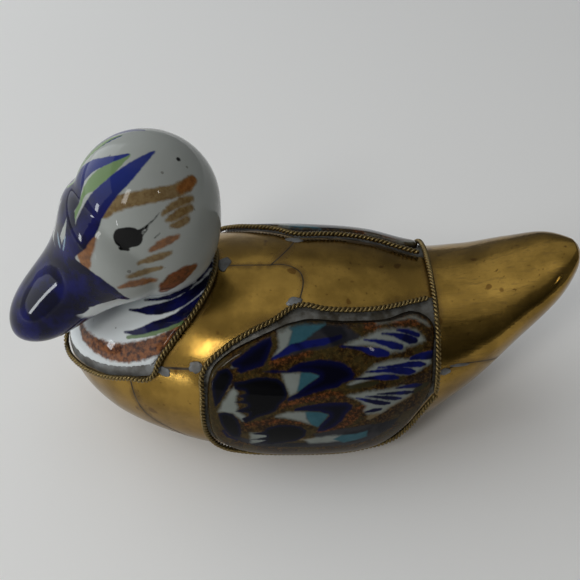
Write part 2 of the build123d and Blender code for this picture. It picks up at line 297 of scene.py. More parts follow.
# The body's sizes in millimetres, and its sections from breast to tail: place along the body,
# half width, widest level, bottom and top, all as shares of those sizes, and how square the
# upper and lower halves are.
body_length = 155.8
breast_reach = 71.5
half_width = 37.5
back_height = 55.0
section_shares = np.array((
    (0.000, 0.040, 0.436, 0.415, 0.458, 2.00, 2.00), (0.008, 0.155, 0.436, 0.338, 0.545, 2.00, 2.00),
    (0.029, 0.320, 0.436, 0.233, 0.682, 2.00, 2.10), (0.070, 0.510, 0.441, 0.145, 0.802, 2.00, 2.25),
    (0.130, 0.689, 0.451, 0.066, 0.895, 2.00, 2.40), (0.215, 0.830, 0.455, 0.000, 0.960, 2.05, 2.60),
    (0.320, 0.941, 0.455, -0.026, 0.994, 2.10, 2.80), (0.430, 0.995, 0.455, -0.033, 1.000, 2.10, 2.80),
    (0.540, 0.985, 0.455, -0.033, 0.990, 2.10, 2.80), (0.630, 0.927, 0.477, -0.023, 0.963, 2.10, 2.70),
    (0.720, 0.762, 0.532, 0.042, 0.926, 2.10, 2.45), (0.810, 0.622, 0.676, 0.244, 0.973, 2.10, 2.20),
    (0.895, 0.450, 0.874, 0.557, 1.070, 2.20, 2.10), (0.955, 0.311, 1.002, 0.800, 1.136, 2.30, 2.10),
    (0.987, 0.160, 1.052, 0.955, 1.148, 2.30, 2.10), (1.000, 0.040, 1.073, 1.055, 1.095, 2.00, 2.00),
))
sections = section_shares * (body_length, half_width, *[back_height] * 3, 1, 1)
sections[:, 0] -= breast_reach
steps = np.diff(sections[:, 0])
slopes = np.diff(sections, axis=0) / steps[:, None]
inner = 2 * slopes[:-1] * slopes[1:] / np.where(slopes[:-1] * slopes[1:] > 0,
                                                slopes[:-1] + slopes[1:], np.inf)
tangents = np.vstack((slopes[:1], inner, slopes[-1:]))


def section_at(x):
    """Rows of the body's section at places along it, in millimetres."""
    x = np.clip(x, sections[0, 0], sections[-1, 0])
    k = np.clip(np.searchsorted(sections[:, 0], x) - 1, 0, len(steps) - 1)
    step = steps[k][:, None]
    u = (x - sections[k, 0])[:, None] / step
    return ((sections[k] * (1 + 2 * u) + tangents[k] * u * step) * (1 - u) ** 2
            + (sections[k + 1] * (3 - 2 * u) - tangents[k + 1] * (1 - u) * step) * u ** 2)


def fullness(points):
    """How full of each point its section is, more than one outside, and how square it is."""
    row = section_at(points[:, 0])
    over = points[:, 2] >= row[:, 2]
    rise = np.where(over, row[:, 4] - row[:, 2], row[:, 2] - row[:, 3])
    square = np.where(over, row[:, 5], row[:, 6])
    full = (np.abs(points[:, 1] / row[:, 1]) ** square
            + np.abs((points[:, 2] - row[:, 2]) / rise) ** square)
    return full, square


def outside(points):
    """More than zero where a point, in millimetres, lies outside the body's surface."""
    full, square = fullness(points)
    return full ** (1 / square) - 1


def off_skin(points):
    """Each point's distance over the body's surface, and the way straight out of it."""
    reach = 0.05
    slope = np.stack([(outside(points + reach * axis) - outside(points - reach * axis))
                      / (2 * reach) for axis in np.eye(3)], axis=1)
    size = np.linalg.norm(slope, axis=1) + 1e-9
    return outside(points) / size, slope / size[:, None]


# What lies this near the skin is eased onto it, but not the flat base below the second of
# these places or the blunt end of the tail beyond the third, all in millimetres.
skin_slack = 0.35
base_edge = 1.3
tail_end = 83


def fine_copy(node, longest):
    """A CAD node's shape with its triangles merged and divided, eased onto the true skin."""
    form = bmesh.new()
    form.from_mesh(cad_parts[node].data)
    bmesh.ops.remove_doubles(form, verts=form.verts, dist=0.002 * mm)
    for _ in range(6):
        long = [edge for edge in form.edges if edge.calc_length() > longest * mm]
        if not long:
            break
        bmesh.ops.subdivide_edges(form, edges=long, cuts=1)
        bmesh.ops.triangulate(form, faces=[f for f in form.faces if len(f.verts) > 3])
    points = np.array([vert.co for vert in form.verts]) / mm
    for _ in range(3):
        away, out = off_skin(points)
        near = ((np.abs(away) < skin_slack) & (points[:, 2] > base_edge)
                & (points[:, 0] < tail_end))
        points = points - np.where(near[:, None], away[:, None] * out, 0)
    for vert, point in zip(form.verts, points):
        vert.co = point * mm
    for edge in form.edges:
        edge.smooth = len(edge.link_faces) == 2 and edge.calc_face_angle(0) < radians(40)
    for face in form.faces:
        face.smooth = True
    mesh = bpy.data.meshes.new(node)
    form.to_mesh(mesh)
    form.free()
    return mesh


seam_nodes = ("neck_solder", "wing_solder_left", "wing_solder_right", "back_solder",
              "tail_solder", "flank_solder")
seam_points = np.vstack([places(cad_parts[node].data) for node in seam_nodes])
seam_tree = kdtree.KDTree(len(seam_points))
for index, point in enumerate(seam_points):
    seam_tree.insert(point, index)
seam_tree.balance()

sheet_brass = brass_finish("sheet_brass", (0.25, 1, 1), 0.006, 0.17)
tail_brass = brass_finish("tail_brass", (0.05, 1, 1), 0.045, 0.11)
sheets = ("breast_plate", "flank_plate_left", "flank_plate_right", "shoulder_plate_left",
          "shoulder_plate_right", "back_plate", "tail_plate", "base_plate")
for node in sheets:
    mesh = fine_copy(node, 1.6)
    carry(mesh, "seam", [seam_tree.find(point)[2] for point in places(mesh)])
    new_piece("brass_" + node.replace("_plate", ""), mesh,
              tail_brass if node == "tail_plate" else sheet_brass, "brass", node)


# The solder. Soft grey solder, run along every joint with an iron, holds the brass plates to
# each other and the ceramic in its openings. It is lumpy, dull and tarnished brown in places.

def solder_finish(name, light, dark):
    """Dull solder: grey lumps with brown tarnish."""
    solder = Finish(name, metallic=0.55, roughness=0.5)
    cloud = solder.grain(0.25, 3, 0.55)
    solder.set("Base Color", solder.mix(solder.reach(cloud, 0.32, 0.72), dark, light))
    solder.bump((solder.grain(0.3, 2, 0.5), 0.12 * mm))
    return solder.material


def lumpy(mesh, swell, per_mm):
    """Swell a strip of solder unevenly out of the skin."""
    points = places(mesh)
    away, out = off_skin(points)
    rise = np.array([noise.noise(Vector(point * per_mm)) for point in points])
    lift = np.where(away > -0.1, swell * (0.55 + rise), 0)
    points = points + out * lift[:, None]
    mesh.vertices.foreach_set("co", (points * mm).astype(np.float32).ravel())
    return mesh


grey_solder = solder_finish("grey_solder", colour(128, 130, 130), colour(92, 90, 86))
seam_solder = solder_finish("seam_solder", colour(84, 72, 52), colour(36, 26, 14))
dark_solder = solder_finish("dark_solder", colour(118, 118, 114), colour(64, 58, 46))
for node in ("neck_solder", "wing_solder_left", "wing_solder_right"):
    new_piece(node + "_run", lumpy(fine_copy(node, 0.5), 0.16, 0.35),
              grey_solder if node == "neck_solder" else dark_solder, "solder", node)
for node in ("back_solder", "tail_solder", "flank_solder"):
    new_piece(node + "_run", fine_copy(node, 0.6), seam_solder, "solder", node)

# Blobs of solder where the wires and the seams end, as left by the iron: place on the skin
# and size up the side, along the body and out of it, in millimetres.
blob_rows = (
    ((-35.8, -27.4, 39.3), (1.3, 2.1, 0.14)), ((-26.6, -28.3, 42.3), (1.6, 1.9, 0.16)),
    ((1.2, -13.5, 53.5), (1.4, 2.4, 0.15)), ((-19.6, 0.5, 55.3), (1.8, 3.0, 0.14)),
    ((44.4, -25.4, 37.0), (1.1, 1.9, 0.14)), ((48.6, -24.1, 38.4), (0.5, 3.0, 0.12)),
    ((44.4, 25.4, 37.0), (1.1, 1.9, 0.14)), ((48.6, 24.1, 38.4), (0.5, 3.0, 0.12)),
    ((-35.8, 27.4, 39.3), (1.3, 2.1, 0.14)), ((-26.6, 28.3, 42.3), (1.6, 1.9, 0.16)),
    ((1.2, 13.5, 53.5), (1.4, 2.4, 0.15)),
)
form = bmesh.new()
for spot, size in blob_rows:
    away, out = off_skin(np.array([spot]))
    up = Vector(out[0])
    turn = up.to_track_quat("Z", "X").to_matrix().to_4x4()
    made = bmesh.ops.create_icosphere(form, subdivisions=3, radius=1.0)
    for vert in made["verts"]:
        lump = 1 + 0.45 * noise.noise(vert.co * 1.4 + Vector(spot))
        vert.co = Vector([c * s * lump for c, s in zip(vert.co, size)])
        vert.co = (turn @ vert.co + Vector(spot) - up * away[0]) * mm
for face in form.faces:
    face.smooth = True
blob_mesh = bpy.data.meshes.new("solder_blobs")
form.to_mesh(blob_mesh)
form.free()
new_piece("solder_blobs", blob_mesh, grey_solder, "solder")


# The twisted wire. Two strands of thin brass wire are twisted together and soldered down over
# every edge of the ceramic, and over the seam in front of the tail.

# A strand's radius, its distance from the middle, the length of one turn, and how often the
# winding is worked out along the wire, in millimetres.
strand = 0.45
lay = 0.42
pitch = 2.6
pace = 0.2


def twisted_wire(name, route, closed, material, node):
    """Two strands wound round a smooth line through a route, given in millimetres."""
    line = bpy.data.curves.new(name, "CURVE")
    line.dimensions = "3D"
    line.resolution_u = 12
    spline = line.splines.new("BEZIER")
    spline.bezier_points.add(len(route) - 1)
    for knot, point in zip(spline.bezier_points, route):
        knot.co = point
        knot.handle_left_type = knot.handle_right_type = "AUTO"
    spline.use_cyclic_u = closed
    guide = bpy.data.objects.new(name, line)
    path = bpy.data.meshes.new_from_object(guide)
    rows = np.array([vert.co for vert in path.vertices])
    if closed:
        rows = np.vstack((rows, rows[:1]))
    run = np.concatenate(([0], np.cumsum(np.linalg.norm(np.diff(rows, axis=0), axis=1))))
    count = int(run[-1] / pace)
    stops = np.linspace(0, run[-1], count + 1)
    rows = np.stack([np.interp(stops, run, rows[:, axis]) for axis in range(3)], axis=1)
    out = off_skin(rows)[1]
    ahead = np.gradient(rows, axis=0)
    ahead /= np.linalg.norm(ahead, axis=1)[:, None]
    side = np.cross(out, ahead)
    side /= np.linalg.norm(side, axis=1)[:, None]
    out = np.cross(ahead, side)
    turns = round(run[-1] / pitch)
    angle = 2 * pi * turns * stops / run[-1]
    wires = bpy.data.curves.new(name, "CURVE")
    wires.dimensions = "3D"
    wires.bevel_depth = strand * mm
    wires.bevel_resolution = 2
    wires.use_fill_caps = True
    for half in (0, pi):
        wound = rows + lay * (np.cos(angle + half)[:, None] * out
                              + np.sin(angle + half)[:, None] * side)
        if closed:
            wound = wound[:-1]
        thread = wires.splines.new("POLY")
        thread.points.add(len(wound) - 1)
        thread.points.foreach_set("co", np.c_[wound * mm, np.ones(len(wound))].ravel())
        thread.use_cyclic_u = closed
    coil = bpy.data.objects.new(name + "_coil", wires)
    mesh = bpy.data.meshes.new_from_object(coil)
    form = bmesh.new()
    form.from_mesh(mesh)
    bmesh.ops.remove_doubles(form, verts=form.verts, dist=0.001 * mm)
    bmesh.ops.recalc_face_normals(form, faces=form.faces)
    for face in form.faces:
        face.smooth = True
    form.to_mesh(mesh)
    form.free()
    for spare in (guide, coil):
        bpy.data.objects.remove(spare)
    out_of_skin = off_skin(places(mesh))[0]
    carry(mesh, "groove", out_of_skin)
    new_piece(name, mesh, material, "wire", node)


wire = Finish("twisted_brass", metallic=1.0)
# Painted shade: each strand is painted near black where it sinks towards the skin, in the groove under
# the wire, and worn brass where it stands out.
groove_shade = wire.reach(wire.layer("groove"), 0.1, 1.7)
worn = wire.mix(wire.grain(0.5, 3, 0.6), colour(92, 80, 52), colour(138, 118, 76))
wire.set("Base Color", wire.mix(groove_shade, colour(30, 24, 14), worn))
wire.set("Roughness", wire.reach(wire.grain(0.9, 3, 0.6, shift=0.4), 0.3, 0.7, 0.28, 0.5))
wire.bump((wire.grain(2.0, 3, 0.6, shift=0.9), 0.05 * mm))

# The wires' routes are worked out as the CAD's plain wires are, from named sizes in
# millimetres and degrees, with every place taken to the nearest tenth of a millimetre.
wire_stand = 1.35
skin_step = 1.2
neck_back = np.array((-20.3, 55.6))
neck_corner = np.array((-39.0, 37.7))
neck_side_sag = 2.7
neck_front_slope = np.tan(radians(20))
neck_side_angles = (90, 76, 62, 49, 37, 26)
neck_front_shares = (0.94, 0.84, 0.73, 0.61, 0.49, 0.37, 0.25, 0.12, 0.0)
tail_seam = 42.0
tail_foot = 5.0
tail_runs = 16


def past_skin(points):
    """More than zero outside the body, with its two ends cut off square."""
    full = fullness(points)[0]
    beyond = (points[:, 0] < sections[0, 0]) | (points[:, 0] > sections[-1, 0])
    return np.where(beyond, 1, full - 1)


def skin_point(x, angle):
    """Place on the left of the body's surface, an angle above its widest level."""
    row = section_at(np.array([x]))[0]
    aside, up = cos(radians(angle)), sin(radians(angle)) ** (2 / row[5])
    out = -np.sign(aside) * abs(aside) ** (2 / row[5]) * row[1]
    return np.array((x, out, row[2] + up * (row[4] - row[2])))


def meet_skin(starts, step):
    """Where lines from places outside the body, a step at a time, first meet its surface."""
    near = np.array(starts)
    while (past_skin(near) > 0).any():
        near = near + (past_skin(near) > 0)[:, None] * step
    far = near - step
    for _ in range(30):
        middle = (near + far) / 2
        out = (past_skin(middle) > 0)[:, None]
        near, far = np.where(out, near, middle), np.where(out, middle, far)
    return near


def over_skin(points):
    """Places of the wire's middle over places on the skin, to a tenth of a millimetre."""
    points = np.array(points)
    slope = np.stack([past_skin(points + skin_step * axis) - past_skin(points - skin_step * axis)
                      for axis in np.eye(3)], axis=1)
    return np.round(points + wire_stand * slope / np.linalg.norm(slope, axis=1)[:, None], 1)


def neck_side(height):
    """Forward place of the line down the side of the neck at a height."""
    up = (height - neck_corner[1]) / (neck_back[1] - neck_corner[1])
    return neck_corner[0] + (neck_back[0] - neck_corner[0]) * up - neck_side_sag * 4 * up * (1 - up)


neck_places = []
for angle in neck_side_angles:
    x = neck_back[0]
    for _ in range(20):
        x = neck_side(skin_point(x, angle)[2])
    neck_places.append(skin_point(x, angle))
front_height = neck_corner[1] + (-breast_reach - neck_corner[0]) * neck_front_slope
front = meet_skin([(-breast_reach, neck_places[-1][1] * share, front_height)
                   for share in neck_front_shares], np.array((1, 0, neck_front_slope)))
neck_half = over_skin([*neck_places, *front])
neck_half[[0, -1], 1] = 0
neck_route = np.vstack((neck_half, neck_half[-2:0:-1] * (1, -1, 1)))
twisted_wire("neck_wire", neck_route, True, wire.material, "neck_rope")

# The wing's outline in its own view, as shares of its length and height: over its front, along
# its ridge and round its foot. The wire ends short of the one over the tail seam, by its own
# thickness and a small gap.
wing_corner = np.array((-24.6, -2.8))
wing_size = (66.6, 48.2)
wing_top = ((0.01, 0.700), (0.17, 0.875), (0.30, 0.945), (0.405, 1.000))
wing_ridge = ((0.405, 1.000), (0.70, 0.972), (1.00, 0.985))
wing_lower = ((1.00, 0.475), (0.93, 0.300), (0.82, 0.080), (0.68, 0.005), (0.44, -0.005),
              (0.20, 0.005), (0.045, 0.130), (0.000, 0.400), (0.01, 0.700))
wing_tilt = radians(18)
wing_pitch = 7.5
wire_end = 2.2


def smooth_line(stops):
    """Close-set places of a smooth curve through a few, and how far along each of them is."""
    stops = wing_corner + np.array(stops) * wing_size
    gaps = np.linalg.norm(np.diff(stops, axis=0), axis=1)
    at = np.concatenate(([0], np.cumsum(gaps)))
    order = min(3, len(gaps))
    weights = np.eye(len(at))
    slopes = np.zeros_like(stops)
    for end, some in ((0, slice(order + 1)), (-1, slice(-order - 1, None))):
        slopes[end] = np.polyfit(at[some] - at[end], stops[some], order)[-2]
    for k in range(1, len(gaps)):
        before, after = gaps[k - 1], gaps[k]
        weights[k, k - 1:k + 2] = after, 2 * (before + after), before
        slopes[k] = 3 * (after * (stops[k] - stops[k - 1]) / before
                         + before * (stops[k + 1] - stops[k]) / after)
    slopes = np.linalg.solve(weights, slopes)
    u = np.linspace(0, 1, 200)[:, None]
    line = np.vstack([(stops[k] * (1 + 2 * u) + slopes[k] * u * gap) * (1 - u) ** 2
                      + (stops[k + 1] * (3 - 2 * u) - slopes[k + 1] * (1 - u) * gap) * u ** 2
                      for k, gap in enumerate(gaps)])
    run = np.concatenate(([0], np.cumsum(np.linalg.norm(np.diff(line, axis=0), axis=1))))
    return line, run


outline = []
for stops in (wing_ridge, wing_top, wing_lower):
    line, run = smooth_line(stops)
    count = round(run[-1] / wing_pitch)
    stations = [run[-1] * (1 - k / count) for k in range(count)]
    if stops is wing_ridge:
        stations[0] = run[-1] - wire_end
    outline.append(np.stack([np.interp(stations, run, column) for column in line.T], axis=1))
outline = np.vstack((*outline, line[:1]))
wing_out = np.array((0, -cos(wing_tilt), sin(wing_tilt)))
wing_up = np.array((0, sin(wing_tilt), cos(wing_tilt)))
flat = outline[:, :1] * (1, 0, 0) + outline[:, 1:] * wing_up
wing_route = over_skin(meet_skin(flat + wing_out * 2 * half_width, -wing_out))
for side, way in (("left", 1), ("right", -1)):
    twisted_wire("wing_wire_" + side, wing_route * (1, way, 1), False, wire.material,
                 "wing_rope_" + side)

tail_route = over_skin([skin_point(tail_seam, tail_foot + (180 - 2 * tail_foot) * k / tail_runs)
                        for k in range(tail_runs + 1)])
twisted_wire("tail_wire", tail_route, False, wire.material, "tail_rope")


# The head, bill and breast. One casting in pale stoneware, hollow inside, painted by hand with
# metal oxides under a clear gloss glaze: feather strokes, a dark bill and a mottled collar.

def glazed_copy(node, pitch, rounds):
    """Even, smoothed mesh over a CAD node's shape, as glaze softens every edge."""
    form = bmesh.new()
    form.from_mesh(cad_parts[node].data)
    bmesh.ops.remove_doubles(form, verts=form.verts, dist=0.002 * mm)
    mesh = bpy.data.meshes.new(node)
    form.to_mesh(mesh)
    form.free()
    body = bpy.data.objects.new(node + "_body", mesh)
    bpy.context.scene.collection.objects.link(body)
    even = body.modifiers.new("even", "REMESH")
    even.mode = "VOXEL"
    even.voxel_size = pitch * mm
    soft = body.modifiers.new("soft", "SMOOTH")
    soft.factor = 0.5
    soft.iterations = rounds
    bpy.context.view_layer.update()
    seen = body.evaluated_get(bpy.context.evaluated_depsgraph_get())
    glazed = bpy.data.meshes.new_from_object(seen)
    bpy.data.objects.remove(body)
    for face in glazed.polygons:
        face.use_smooth = True
    return glazed


def brushed(points, strokes):
    """Distance from each point to the nearest brush stroke, less than zero inside one."""
    best = np.full(len(points), 99.0)
    for rows in strokes:
        rows = np.array(rows)
        for first, last in zip(rows, rows[1:]):
            run = last[:-1] - first[:-1]
            share = np.clip((points - first[:-1]) @ run / (run @ run + 1e-9), 0, 1)
            gap = points - first[:-1] - share[:, None] * run
            width = first[-1] + (last[-1] - first[-1]) * share
            best = np.minimum(best, np.linalg.norm(gap, axis=1) - width)
    return best


# The strokes are placed on enlarged views of the duck's picture, 580 pixels square. A view
# is its left and top pixel and how often it is enlarged, and a stroke is a run of places
# across and down the view, each with the brush's half width there.
picture_middle = 290
picture_focus = 690
head_view = (0, 120, 5)
collar_view = (45, 235, 8.711)


def surface_of(node):
    """A CAD node's surface, to find places on."""
    form = bmesh.new()
    form.from_mesh(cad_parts[node].data)
    surface = bvhtree.BVHTree.FromBMesh(form)
    form.free()
    return surface


def laid(surface, view, rows):
    """Rows of a view laid on a surface, in millimetres: where the eye sees each on the duck."""
    left, top, larger = view
    ahead = Vector((0, sin(eye_tilt), -cos(eye_tilt)))
    up = Vector((0, cos(eye_tilt), sin(eye_tilt)))
    found = []
    for across, down, *half in rows:
        aside = left + across / larger - picture_middle
        rise = picture_middle - top - down / larger
        way = (Vector((aside, 0, 0)) + up * rise + ahead * picture_focus).normalized()
        place = surface.ray_cast(eye_place, way)[0]
        if place is None:
            passed = [surface.find_nearest(eye_place + way * step * mm)
                      for step in np.arange(100, 340, 0.6)]
            place = min(passed, key=lambda near: near[3])[0]
        pixel = (place - eye_place).dot(ahead) / picture_focus / mm
        found.append([*(place / mm), *(part / larger * pixel for part in half)])
    return np.array(found)


head_strokes = {
    "wash": (
        ((940, 400, 26), (920, 450, 34), (905, 495, 30)),
    ),
    "ochre": (
        ((520, 462, 28), (560, 425, 36), (620, 405, 34), (690, 392, 32), (760, 378, 32),
         (830, 366, 30), (890, 350, 30), (940, 322, 30), (962, 300, 24)),
        ((958, 392, 12), (900, 410, 18), (850, 440, 14), (815, 470, 6)),
        ((955, 440, 14), (905, 462, 20), (860, 488, 16), (835, 502, 6)),
        ((935, 500, 16), (895, 522, 18), (860, 530, 8)),
        ((850, 665, 10), (800, 682, 20), (745, 700, 16), (695, 716, 6)),
        ((805, 738, 8), (745, 752, 14), (690, 770, 13), (640, 786, 5)),
    ),
    "orange": (
        ((905, 345, 18), (945, 318, 26), (966, 296, 16)),
        ((890, 582, 8), (850, 600, 20), (800, 625, 20), (755, 652, 8)),
        ((775, 800, 10), (710, 810, 19), (650, 822, 17), (600, 838, 6)),
        ((462, 600, 16), (438, 640, 30), (418, 680, 42), (425, 715, 30), (436, 742, 10)),
    ),
    "rust": (
        ((962, 742, 16), (925, 765, 38), (885, 795, 50), (848, 825, 38), (820, 852, 14)),
    ),
    "green": (
        ((640, 178, 7), (590, 212, 22), (545, 248, 33), (498, 284, 40), (458, 319, 35),
         (430, 347, 20)),
        ((432, 345, 12), (410, 385, 8), (385, 450, 6), (365, 520, 5)),
    ),
    "blue": (
        ((640, 172, 4), (590, 188, 12), (520, 208, 24), (455, 232, 38), (400, 285, 60),
         (360, 345, 74), (330, 410, 78), (305, 470, 70), (290, 530, 56), (280, 575, 40)),
        ((350, 440, 24), (352, 480, 28), (352, 530, 36), (350, 590, 44), (345, 650, 46),
         (350, 710, 40)),
        ((425, 262, 18), (413, 283, 32), (395, 333, 36), (372, 417, 26), (348, 467, 22)),
        ((770, 158, 4), (720, 195, 18), (665, 240, 34), (610, 290, 44), (560, 335, 48),
         (500, 400, 58), (455, 470, 64), (425, 540, 62), (395, 605, 48), (360, 655, 30)),
        ((372, 700, 8), (430, 760, 26), (490, 812, 36), (540, 850, 36), (590, 880, 22),
         (640, 895, 5)),
        ((330, 640, 40), (360, 730, 55), (420, 810, 60), (480, 850, 55), (540, 880, 36)),
        ((290, 610, 40), (300, 690, 60), (340, 770, 75), (385, 860, 70), (440, 905, 46),
         (505, 900, 28), (570, 892, 14)),
        ((262, 640, 30), (250, 700, 55), (240, 780, 70), (300, 900, 90), (380, 930, 60)),
    ),
    # Painted highlight: the white strokes are thin pale bluish streaks on the blue by the bill's root,
    # standing for the gloss of the glaze there.
    "white": (
        ((288, 560, 5), (292, 600, 11), (300, 635, 7)),
        ((326, 585, 5), (320, 620, 9), (316, 650, 6)),
    ),
    "ink": (
        ((620, 592, 57), (656, 588, 57)),
        ((604, 640, 12), (640, 646, 10)),
        ((700, 556, 9), (728, 535, 6), (762, 505, 4), (798, 465, 2)),
        ((712, 575, 5), (732, 552, 4), (740, 530, 3)),
        ((800, 565, 3), (775, 590, 4)),
        ((891, 194, 11.5), (893, 197, 11.5)),
        ((548, 176, 4), (549, 177, 4)),
    ),
}

collar_strokes = {
    "blue": (
        # The first blue stroke, close under the cheek's crease, is partly the collar's paint and
        # partly painted shade in the crease.
        ((1448, 245, 14), (1350, 370, 24), (1230, 470, 26), (1100, 538, 18), (980, 562, 9),
         (870, 565, 4)),
        ((735, 650, 3), (820, 657, 14), (900, 655, 38), (1000, 645, 48), (1100, 615, 50),
         (1200, 570, 48), (1300, 500, 44), (1380, 430, 34), (1450, 350, 22), (1490, 300, 10)),
        ((695, 845, 4), (770, 850, 16), (850, 832, 28), (950, 795, 38), (1050, 765, 40),
         (1150, 722, 42), (1250, 650, 42), (1330, 580, 32), (1400, 500, 16)),
    ),
    "green": (
        ((720, 892, 6), (850, 872, 16), (950, 850, 18), (1100, 800, 14), (1200, 760, 8)),
    ),
    "brown": (
        ((318, 800, 36), (350, 880, 58), (450, 965, 72), (560, 1015, 82), (700, 1030, 86),
         (850, 1005, 90), (1000, 950, 80), (1120, 880, 70), (1220, 790, 52), (1290, 700, 30)),
    ),
    "orange": (
        ((430, 940, 40), (560, 990, 45), (640, 1000, 30)),
        ((1000, 980, 30), (1120, 860, 40), (1230, 770, 25)),
    ),
}

# The bill is one wide stroke, placed in millimetres from its root to past its tip. Some paints
# have spread in the firing, by this many millimetres.
bill_strokes = (((-60.1, -8.7, 60.0, 13.0), (-80.0, -16.6, 46.0, 14.0)),)
spread = {"ochre": 0.25, "orange": 0.25, "rust": 0.8, "green": 0.3, "blue": 0.2}

head_mesh = glazed_copy("head_ceramic", 0.55, 16)
points = places(head_mesh)
head_turn = radians(22)
face_left = np.array((sin(head_turn), -cos(head_turn), 0))
head_middle = np.array((-38.7, 0, 78.4))
far_cheek = -4
head_surface = surface_of("head_ceramic")
aside = (points - head_middle) @ face_left
other_face = points - 2 * aside[:, None] * face_left
other_side = points * (1, -1, 1)
paints = {"blue": brushed(points, bill_strokes)}
for paint, seen_strokes in head_strokes.items():
    strokes = [laid(head_surface, head_view, rows) for rows in seen_strokes]
    found = brushed(points, strokes)
    # The painted highlight stays on the near face; every other paint is copied onto the far cheek.
    if paint != "white":
        found = np.where(aside < far_cheek, brushed(other_face, strokes), found)
    paints[paint] = np.minimum(paints.get(paint, 99.0), found)
for paint, seen_strokes in collar_strokes.items():
    strokes = [laid(head_surface, collar_view, rows) for rows in seen_strokes]
    found = np.minimum(brushed(points, strokes), brushed(other_side, strokes))
    paints[paint] = np.minimum(paints.get(paint, 99.0), found)
for paint, found in paints.items():
    carry(head_mesh, paint, found - spread.get(paint, 0))


def painted(glaze, under, paint, tone, soft, wobble, strength=1.0):
    """A coat of paint over what is under it, with brushed, uneven edges, inside a shape."""
    shape = glaze.layer(paint)
    ragged = glaze.sum("MULTIPLY", glaze.sum("SUBTRACT", glaze.grain(0.8, 3, 0.6), 0.5), wobble)
    share = glaze.reach(glaze.sum("ADD", shape, ragged), -soft, soft, strength, 0.0)
    return glaze.mix(share, under, tone)


def glaze_finish(name, gloss):
    """Clear gloss glaze on stoneware, slightly rippled."""
    glaze = Finish(name, roughness=0.05)
    glaze.shader.inputs["Specular IOR Level"].default_value = gloss
    glaze.bump((glaze.grain(0.10, 2, 0.5, shift=3.1), 0.07 * mm))
    return glaze


glaze = glaze_finish("head_glaze", 0.17)
body_tone = glaze.mix(glaze.grain(0.06, 3, 0.5), colour(148, 152, 147), colour(161, 164, 160))
mottle = glaze.reach(glaze.grain(0.7, 4, 0.65, shift=0.2), 0.36, 0.66)
height = glaze.add("SeparateXYZ", {0: glaze.place}).outputs["Z"]
# Painted light: below 66 mm, on the neck and breast, the glaze is painted near white to stand for the
# light they catch, whitest at 55 mm and under.
body_tone = glaze.mix(glaze.reach(height, 0.055, 0.066), colour(214, 219, 220), body_tone)
iron_speck = glaze.reach(glaze.grain(0.40, 1, 0.4, shift=1.3), 0.775, 0.80, 0.0, 0.5)
body_tone = glaze.mix(iron_speck, body_tone, colour(62, 54, 42))
ochre_tone = glaze.mix(mottle, colour(124, 101, 60), colour(102, 76, 34))
orange_tone = glaze.mix(mottle, colour(134, 82, 34), colour(104, 62, 24))
rust_tone = glaze.mix(mottle, colour(116, 62, 26), colour(78, 46, 18))
brown_tone = glaze.mix(mottle, colour(140, 86, 46), colour(58, 32, 26))
streak = glaze.reach(glaze.grain(0.16, 3, 0.6, shift=0.7), 0.35, 0.7)
blue_tone = glaze.mix(streak, colour(6, 6, 32), colour(9, 12, 76))
# Painted light: the blue is painted lighter over the top of the head, above 86 mm.
blue_tone = glaze.mix(glaze.reach(height, 0.086, 0.096), blue_tone, colour(24, 38, 108))
tone = painted(glaze, body_tone, "wash", ochre_tone, 1.2, 1.2, 0.55)
tone = painted(glaze, tone, "ochre", ochre_tone, 0.45, 0.9, 0.92)
tone = painted(glaze, tone, "orange", orange_tone, 0.5, 1.0, 0.9)
tone = painted(glaze, tone, "rust", rust_tone, 0.5, 1.0, 0.95)
tone = painted(glaze, tone, "brown", brown_tone, 0.6, 1.6, 0.95)
tone = painted(glaze, tone, "green", colour(96, 124, 72), 0.25, 0.5, 0.9)
tone = painted(glaze, tone, "blue", blue_tone, 0.28, 0.5)
# Painted highlight: pale bluish streaks over the blue.
tone = painted(glaze, tone, "white", colour(120, 140, 156), 0.2, 0.3, 0.9)
tone = painted(glaze, tone, "ink", colour(10, 10, 10), 0.22, 0.35)
glaze.set("Base Color", tone)
new_piece("painted_head", head_mesh, glaze.material, "glaze", "head_ceramic")


# The wing tiles. Each is a curved stoneware slab with a rounded rim, set in the brass, painted
# with overlapping feathers in blue, teal and white on a speckled ochre ground, then glazed.

# The feathers of the left wing, placed as the head's strokes are. Its own view looks up
# at the wing by some degrees, and feathers are worked out in that view's plane.
near_view = (205, 340, 10.453)
tip_view = (340, 290, 11.2)
foot_view = (190, 280, 5)
wing_spread = 0.1

